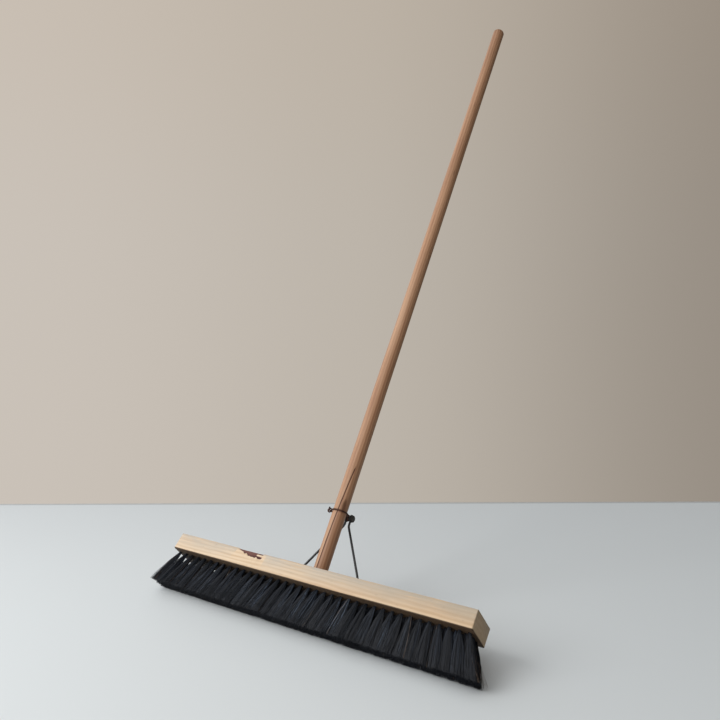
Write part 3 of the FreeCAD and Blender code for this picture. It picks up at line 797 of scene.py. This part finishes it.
class BROOM_OT_handle(bpy.types.Operator):
    """Turn the pole and mark its crack, its waviness and the clamp's dent"""
    bl_idname = "broom.handle"
    bl_label = "Handle"

    def execute(self, context):
        scene = context.scene
        pole = scene.broom_handle
        bm = self.turned(pole)
        self.age(bm, pole)
        bmesh.ops.transform(bm, matrix=handle_frame(scene), verts=bm.verts)
        piece = finished_piece("handle_wooden", bm, handle_wood(scene), 50)
        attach(piece, "handle")
        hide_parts("handle")
        return {"FINISHED"}

    def turned(self, pole):
        """The pole's outline, divided where detail is wanted, then spun."""
        bm = bmesh.new()
        top = pole.length - pole.foot_depth
        dome_start = top - pole.dome_rise
        stations = [(pole.foot_radius, -pole.foot_depth), (pole.radius, pole.taper_rise),
                    (pole.radius, pole.crack_length + 0.02), (pole.radius, dome_start)]
        verts = [bm.verts.new((0, 0, -pole.foot_depth))]
        verts += [bm.verts.new((radius, 0, along)) for radius, along in stations]
        edges = [bm.edges.new(pair) for pair in zip(verts, verts[1:])]
        dome_radius = (pole.radius ** 2 + pole.dome_rise ** 2) / (2 * pole.dome_rise)
        bmesh.ops.spin(bm, geom=[verts[-1]], cent=(0, 0, top - dome_radius), axis=(0, -1, 0),
                       angle=math.asin(pole.radius / dome_radius), steps=10, use_merge=False)
        for edge, divisions in zip(edges[1:], (6, 100, 110)):
            bmesh.ops.subdivide_edges(bm, edges=[edge], cuts=divisions)
        outline = bm.verts[:] + bm.edges[:]
        bmesh.ops.spin(bm, geom=outline, cent=(0, 0, 0), axis=(0, 0, 1),
                       angle=math.tau, steps=72, use_merge=True)
        bmesh.ops.remove_doubles(bm, verts=bm.verts, dist=0.00002)
        bmesh.ops.recalc_face_normals(bm, faces=bm.faces)
        return bm

    def age(self, bm, pole):
        """Dents, waviness and the crack, each marked for the finish."""
        off_mark = bm.verts.layers.float.new("off_crack")
        near_mark = bm.verts.layers.float.new("near_crack")
        clamp_mark = bm.verts.layers.float.new("clamped")
        lead, sweep = 0.0346, 0.00108  # the crack's turn: degrees to a mm, and to a mm squared
        for vert in bm.verts:
            x, y, z = vert.co
            radius = math.hypot(x, y)
            if radius < 0.001:
                continue
            outward = Vector((x, y, 0)) / radius
            wave = noise.noise(Vector((x * 45, y * 45, z * 6)))
            push = 0.00022 * wave * smooth(0.16, 0.35, z)
            path = pole.crack_start + math.radians(lead * z / MM + sweep * (z / MM) ** 2)
            path += 0.02 * noise.noise(Vector((0, 0, z * 60)))
            off = (math.atan2(y, x) - path + math.pi) % math.tau - math.pi
            fade = 1 - smooth(0.72, 1.0, z / pole.crack_length)
            vert[off_mark] = radius * max(-1.5, min(1.5, off))
            vert[near_mark] = max(0.0, math.cos(off)) * fade
            groove = math.exp(-(radius * off / pole.crack_width) ** 2)
            push -= pole.crack_depth * groove * fade * smooth(0.0, 0.004, z)
            nip = math.exp(-((z - pole.clamp_height) / 0.0016) ** 2)
            push -= pole.dent * nip
            vert[clamp_mark] = nip * (0.55 + 0.45 * noise.noise(Vector((x * 300, y * 300, 1))))
            vert.co += outward * push


class BROOM_OT_tufts(bpy.types.Operator):
    """Fill every hole with a tuft of separate bristles"""
    bl_idname = "broom.tufts"
    bl_label = "Tufts"

    def execute(self, context):
        scene = context.scene
        material = bristle_fibre(scene)
        strand = self.strand_mesh()
        places = tuft_places(scene)
        for row in range(scene.broom_bristles.rows):
            self.row(scene, row, [p for p in places if p[0] == row], strand, material)
        bpy.data.meshes.remove(strand)
        return {"FINISHED"}

    def strand_mesh(self):
        """One three-sided bristle, a metre long, in three lengths."""
        bm = bmesh.new()
        bmesh.ops.create_cone(bm, cap_ends=True, segments=3, radius1=0.5, radius2=0.5, depth=1,
                              matrix=Matrix.Translation((0, 0, 0.5)))
        sides = [e for e in bm.edges if abs(e.verts[0].co.z - e.verts[1].co.z) > 0.5]
        bmesh.ops.subdivide_edges(bm, edges=sides, cuts=2)
        mesh = bpy.data.meshes.new("strand")
        bm.to_mesh(mesh)
        bm.free()
        return mesh

    def row(self, scene, row, places, strand, material):
        """Makes one row's bristles: a strand for each path, bent and thinned to its tip."""
        bristles = scene.broom_bristles
        chance = random.Random(100 + row)
        count = bristles.strands
        bm = bmesh.new()
        paths = []
        for _, x, y in places:
            paths += self.tuft_paths(scene, chance, x, y, count)
        paths += self.stray_paths(scene, chance, places)
        for _ in paths:
            bm.from_mesh(strand)
        tone_mark = bm.verts.layers.float.new("tone")
        along_mark = bm.verts.layers.float.new("along")
        straw_mark = bm.verts.layers.float.new("straw")
        bm.verts.ensure_lookup_table()
        each = len(strand.vertices)
        placed = head_frame(scene)
        for i, (root, tip, bow, thick, tone, straw) in enumerate(paths):
            for vert in bm.verts[i * each:(i + 1) * each]:
                along = vert.co.z
                side = Vector((vert.co.x, vert.co.y, 0)) * thick * (1 - 0.35 * along)
                centre = root.lerp(tip, along) + bow * (4 * along * (1 - along))
                vert.co = placed @ (centre + side)
                vert[tone_mark], vert[along_mark], vert[straw_mark] = tone, along, straw
        bmesh.ops.recalc_face_normals(bm, faces=bm.faces)
        piece = finished_piece(f"bristles_{row + 1}", bm, material, 80)
        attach(piece, "head")
        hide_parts(f"tuft_row_{row + 1}")

    def tuft_paths(self, scene, chance, x, y, count):
        """(root, tip, bow, thickness, tone, straw) of each bristle in a tuft."""
        bristles = scene.broom_bristles
        lean = tuft_lean(scene, x) + math.radians(chance.gauss(0, 1.3))
        nod = math.radians(chance.gauss(0, 1.6))
        tuft_tone = chance.random()
        paths = []
        for _ in range(count):
            spot = math.sqrt(chance.random())
            bearing = chance.uniform(0, math.tau)
            disc = Vector((math.cos(bearing), math.sin(bearing), 0)) * spot
            root = Vector((x, y, 0.001)) + disc * (bristles.root_radius - bristles.thickness / 2)
            drop = bristles.trim + chance.uniform(-1, 0.25) * bristles.unevenness
            spread = Vector((disc.x * bristles.spread_along, disc.y * bristles.spread_across, 0))
            wild = 1.0 if chance.random() > 0.25 else 2.4
            fray = Vector((chance.gauss(0, 0.0013), chance.gauss(0, 0.0008), 0)) * wild
            centre = Vector((x + bristles.trim * math.tan(lean), y + drop * math.tan(nod), 0))
            tip = centre + spread + fray + Vector((0, 0, -drop))
            bow = Vector((chance.gauss(0, 1), chance.gauss(0, 0.6), 0)) * bristles.curl * 0.3
            bow += spread * bristles.flare
            tone = 0.25 * tuft_tone + 0.75 * chance.random() ** 2
            thick = bristles.thickness * chance.uniform(0.8, 1.15)
            straw = 1.0 if chance.random() < 0.004 else 0.0
            paths.append(self.on_floor(scene, (root, tip, bow, thick, tone, straw)))
        return paths

    def stray_paths(self, scene, chance, places):
        """A few loose bristles that stand out from both ends of a row."""
        bristles = scene.broom_bristles
        paths = []
        for side, (_, x, y) in ((-1, places[0]), (1, places[-1])):
            for _ in range(bristles.strays):
                lean = tuft_lean(scene, x) + side * math.radians(chance.uniform(5, 14))
                root = Vector((x + chance.gauss(0, 0.001), y, 0.001))
                drop = bristles.trim * chance.uniform(0.86, 1.0)
                tip = Vector((x + drop * math.tan(lean), y + chance.gauss(0, 0.004), -drop))
                bow = Vector((-side * chance.uniform(0, 0.004), chance.gauss(0, 0.001), 0))
                straw = 1.0 if side > 0 and chance.random() < 0.6 else 0.0
                paths.append(self.on_floor(scene, (root, tip, bow, bristles.thickness * 0.85,
                                                   chance.random(), straw)))
        return paths

    def on_floor(self, scene, path):
        """Shortens a bristle that would reach into the floor."""
        root, tip, *rest = path
        placed = head_frame(scene)
        high, low = (placed @ root).z, (placed @ tip).z
        spare = 0.0004
        if low < spare:
            tip = root.lerp(tip, (high - spare) / (high - low))
        return (root, tip, *rest)


class BROOM_OT_brace(bpy.types.Operator):
    """Finish the wire brace, its foot screws, and the clamp's wires, bolt, washer and nut"""
    bl_idname = "broom.brace"
    bl_label = "Brace and clamp"

    def execute(self, context):
        scene = context.scene
        black, rusty = black_wire(scene), rusty_wire(scene)
        screws = dull_steel(scene, "screw_steel", 0.56, 0.013)
        bolts = dull_steel(scene, "bolt_steel", 0.74, 0.031)
        nuts = dull_steel(scene, "nut_steel", 0.62, 0.057)
        anchors = dull_steel(scene, "anchor_steel", 0.45, 0.071)
        for side in ("left", "right"):
            repaint(f"brace_leg_{side}", black)
            repaint(f"foot_screw_{side}", screws)
        repaint("clamp_wire_front", rusty)
        repaint("clamp_wire_back", rusty)
        repaint("clamp_bolt", bolts)
        repaint("clamp_washer", bolts)
        repaint("wing_nut", nuts)
        for row in range(scene.broom_bristles.rows):
            repaint(f"tuft_anchors_{row + 1}", anchors)
        return {"FINISHED"}


class BROOM_PT_panel(bpy.types.Panel):
    """Lists the steps that build the broom"""
    bl_label = "Push Broom"
    bl_space_type = "VIEW_3D"
    bl_region_type = "UI"
    bl_category = "Broom"

    def draw(self, context):
        for step in STEPS:
            self.layout.operator(step.bl_idname)


GROUPS = {
    "broom_posture": BroomPosture,
    "broom_block": BroomBlock,
    "broom_bristles": BroomBristles,
    "broom_handle": BroomHandle,
    "broom_metal": BroomMetal,
    "broom_stage": BroomStage,
}
STEPS = (BROOM_OT_stage, BROOM_OT_block, BROOM_OT_handle, BROOM_OT_tufts, BROOM_OT_brace)


def register():
    for group in GROUPS.values():
        bpy.utils.register_class(group)
    for name, group in GROUPS.items():
        setattr(bpy.types.Scene, name, PointerProperty(type=group))
    for step in STEPS:
        bpy.utils.register_class(step)
    bpy.utils.register_class(BROOM_PT_panel)


def unregister():
    bpy.utils.unregister_class(BROOM_PT_panel)
    for step in reversed(STEPS):
        bpy.utils.unregister_class(step)
    for name, group in reversed(GROUPS.items()):
        delattr(bpy.types.Scene, name)
        bpy.utils.unregister_class(group)


def main():
    register()
    bpy.ops.broom.stage()
    bpy.ops.broom.block()
    bpy.ops.broom.handle()
    bpy.ops.broom.tufts()
    bpy.ops.broom.brace()


if __name__ == "__main__":
    main()
